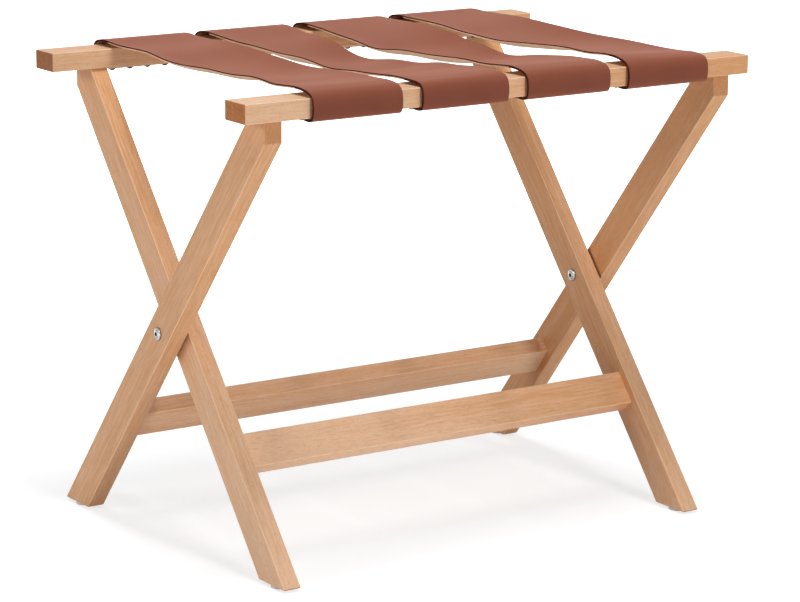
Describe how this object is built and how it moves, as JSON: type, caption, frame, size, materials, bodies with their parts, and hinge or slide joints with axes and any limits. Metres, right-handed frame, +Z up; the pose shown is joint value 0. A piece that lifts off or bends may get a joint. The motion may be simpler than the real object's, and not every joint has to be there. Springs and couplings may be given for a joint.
{
  "type": "folding luggage bench",
  "caption": "Folding X-frame luggage bench of square-edged beech, with broad leather straps nailed over its top rails and bolts for pivots.",
  "frame": {"origin": "on the floor, under the middle of the open bench", "axes": "+X along the rails to the right, +Y to the rear (the inner frame's rail), +Z up"},
  "size_m": [0.62, 0.4362, 0.5037],
  "materials": {
    "beech": "clear satin lacquer",
    "dowel_beech": "bare, fluted",
    "strap_leather": "brown smooth grain outside, tan flesh side inside",
    "tack_bronze": "dark bronzed steel",
    "nail_steel": "bright",
    "glide_nylon": "translucent natural nylon",
    "pivot_nickel": "nickel plated",
    "washer_steel": "zinc plated"
  },
  "bodies": {
    "outer_frame": {"outer_rail": "beech", "outer_leg_left": "beech", "outer_leg_right": "beech", "outer_stretcher": "beech", "outer_rail_dowels": "dowel_beech", "outer_stretcher_dowels": "dowel_beech", "outer_glide_left": "glide_nylon", "outer_glide_right": "glide_nylon", "outer_glide_nails": "nail_steel", "outer_rail_tacks": "tack_bronze", "pivot_screw_left": "pivot_nickel", "pivot_sleeve_left": "pivot_nickel", "pivot_washer_left": "washer_steel", "pivot_screw_right": "pivot_nickel", "pivot_sleeve_right": "pivot_nickel", "pivot_washer_right": "washer_steel", "strap_1": "strap_leather", "strap_2": "strap_leather", "strap_3": "strap_leather", "strap_4": "strap_leather"},
    "inner_frame": {"inner_rail": "beech", "inner_leg_left": "beech", "inner_leg_right": "beech", "inner_stretcher": "beech", "inner_rail_dowels": "dowel_beech", "inner_stretcher_dowels": "dowel_beech", "inner_glide_left": "glide_nylon", "inner_glide_right": "glide_nylon", "inner_glide_nails": "nail_steel", "inner_rail_tacks": "tack_bronze"}
  },
  "joints": [
    {"name": "fold", "type": "hinge", "parent": "outer_frame", "child": "inner_frame", "pos_m": [0, 0, 0.2275], "axis": [1, 0, 0], "range_deg": [0, 60], "deforming": ["strap_1", "strap_2", "strap_3", "strap_4"]}
  ]
}
